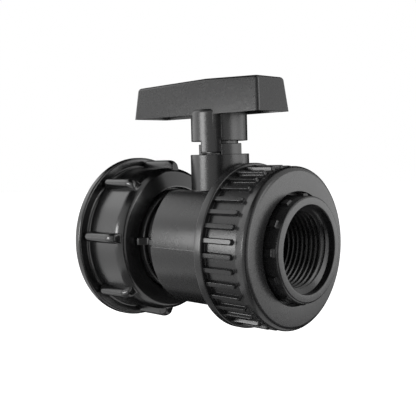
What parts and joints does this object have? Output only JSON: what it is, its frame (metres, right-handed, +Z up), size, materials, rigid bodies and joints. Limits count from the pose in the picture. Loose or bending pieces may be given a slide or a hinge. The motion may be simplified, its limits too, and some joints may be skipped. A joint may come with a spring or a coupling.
{
  "type": "ibc tank valve",
  "caption": "Small plastic ball valve with a captive ribbed tank nut on the inlet, a T-shaped turning handle and a ribbed union nut holding a threaded outlet connector.",
  "frame": {"origin": "on the pipe axis, in the plane where the flat gasket meets the tank outlet", "axes": "+X along the pipe axis from the tank towards the threaded outlet, +Z up along the stem to the handle"},
  "size_m": [0.0997, 0.0748, 0.1071],
  "materials": {
    "body_plastic": "satin moulded",
    "nut_plastic": "semi-gloss moulded",
    "rubber": "matt",
    "seat_plastic": "satin"
  },
  "bodies": {
    "valve": {"valve_body": "body_plastic", "tank_adaptor": "body_plastic", "nut_spacer_ring": "body_plastic", "tank_gasket": "rubber", "seat_ring_inlet": "seat_plastic", "seat_ring_outlet": "seat_plastic", "seat_o_ring_inlet": "rubber", "seat_o_ring_outlet": "rubber", "adaptor_o_ring": "rubber", "seat_carrier": "body_plastic", "carrier_o_ring": "rubber", "stem_washer": "seat_plastic"},
    "tank_nut": {"ibc_nut": "nut_plastic"},
    "lever": {"handle": "body_plastic", "stem": "body_plastic", "stem_o_ring_lower": "rubber", "stem_o_ring_upper": "rubber"},
    "shut_off": {"ball": "body_plastic"},
    "connector": {"end_connector": "body_plastic", "union_o_ring": "rubber"},
    "union": {"union_nut": "body_plastic"}
  },
  "joints": [
    {"name": "tank_nut_turn", "type": "hinge", "parent": "valve", "child": "tank_nut", "pos_m": [0, 0, 0], "axis": [1, 0, 0], "continuous": true},
    {"name": "handle_turn", "type": "hinge", "parent": "valve", "child": "lever", "pos_m": [0.034, 0, 0], "axis": [0, 0, -1], "range_deg": [0, 90]},
    {"name": "ball_turn", "type": "hinge", "parent": "valve", "child": "shut_off", "pos_m": [0.034, 0, 0], "axis": [0, 0, -1], "range_deg": [0, 90]},
    {"name": "connector_pull", "type": "slide", "parent": "valve", "child": "connector", "axis": [1, 0, 0], "range_m": [0, 0.0134]},
    {"name": "union_nut_turn", "type": "hinge", "parent": "connector", "child": "union", "pos_m": [0.06, 0, 0], "axis": [1, 0, 0], "range_deg": [0, 1600]}
  ],
  "couplings": [
    {"joint": "ball_turn", "follows": "handle_turn", "ratio": 1},
    {"joint": "connector_pull", "follows": "union_nut_turn", "m_per_rad": 0.00047746}
  ]
}
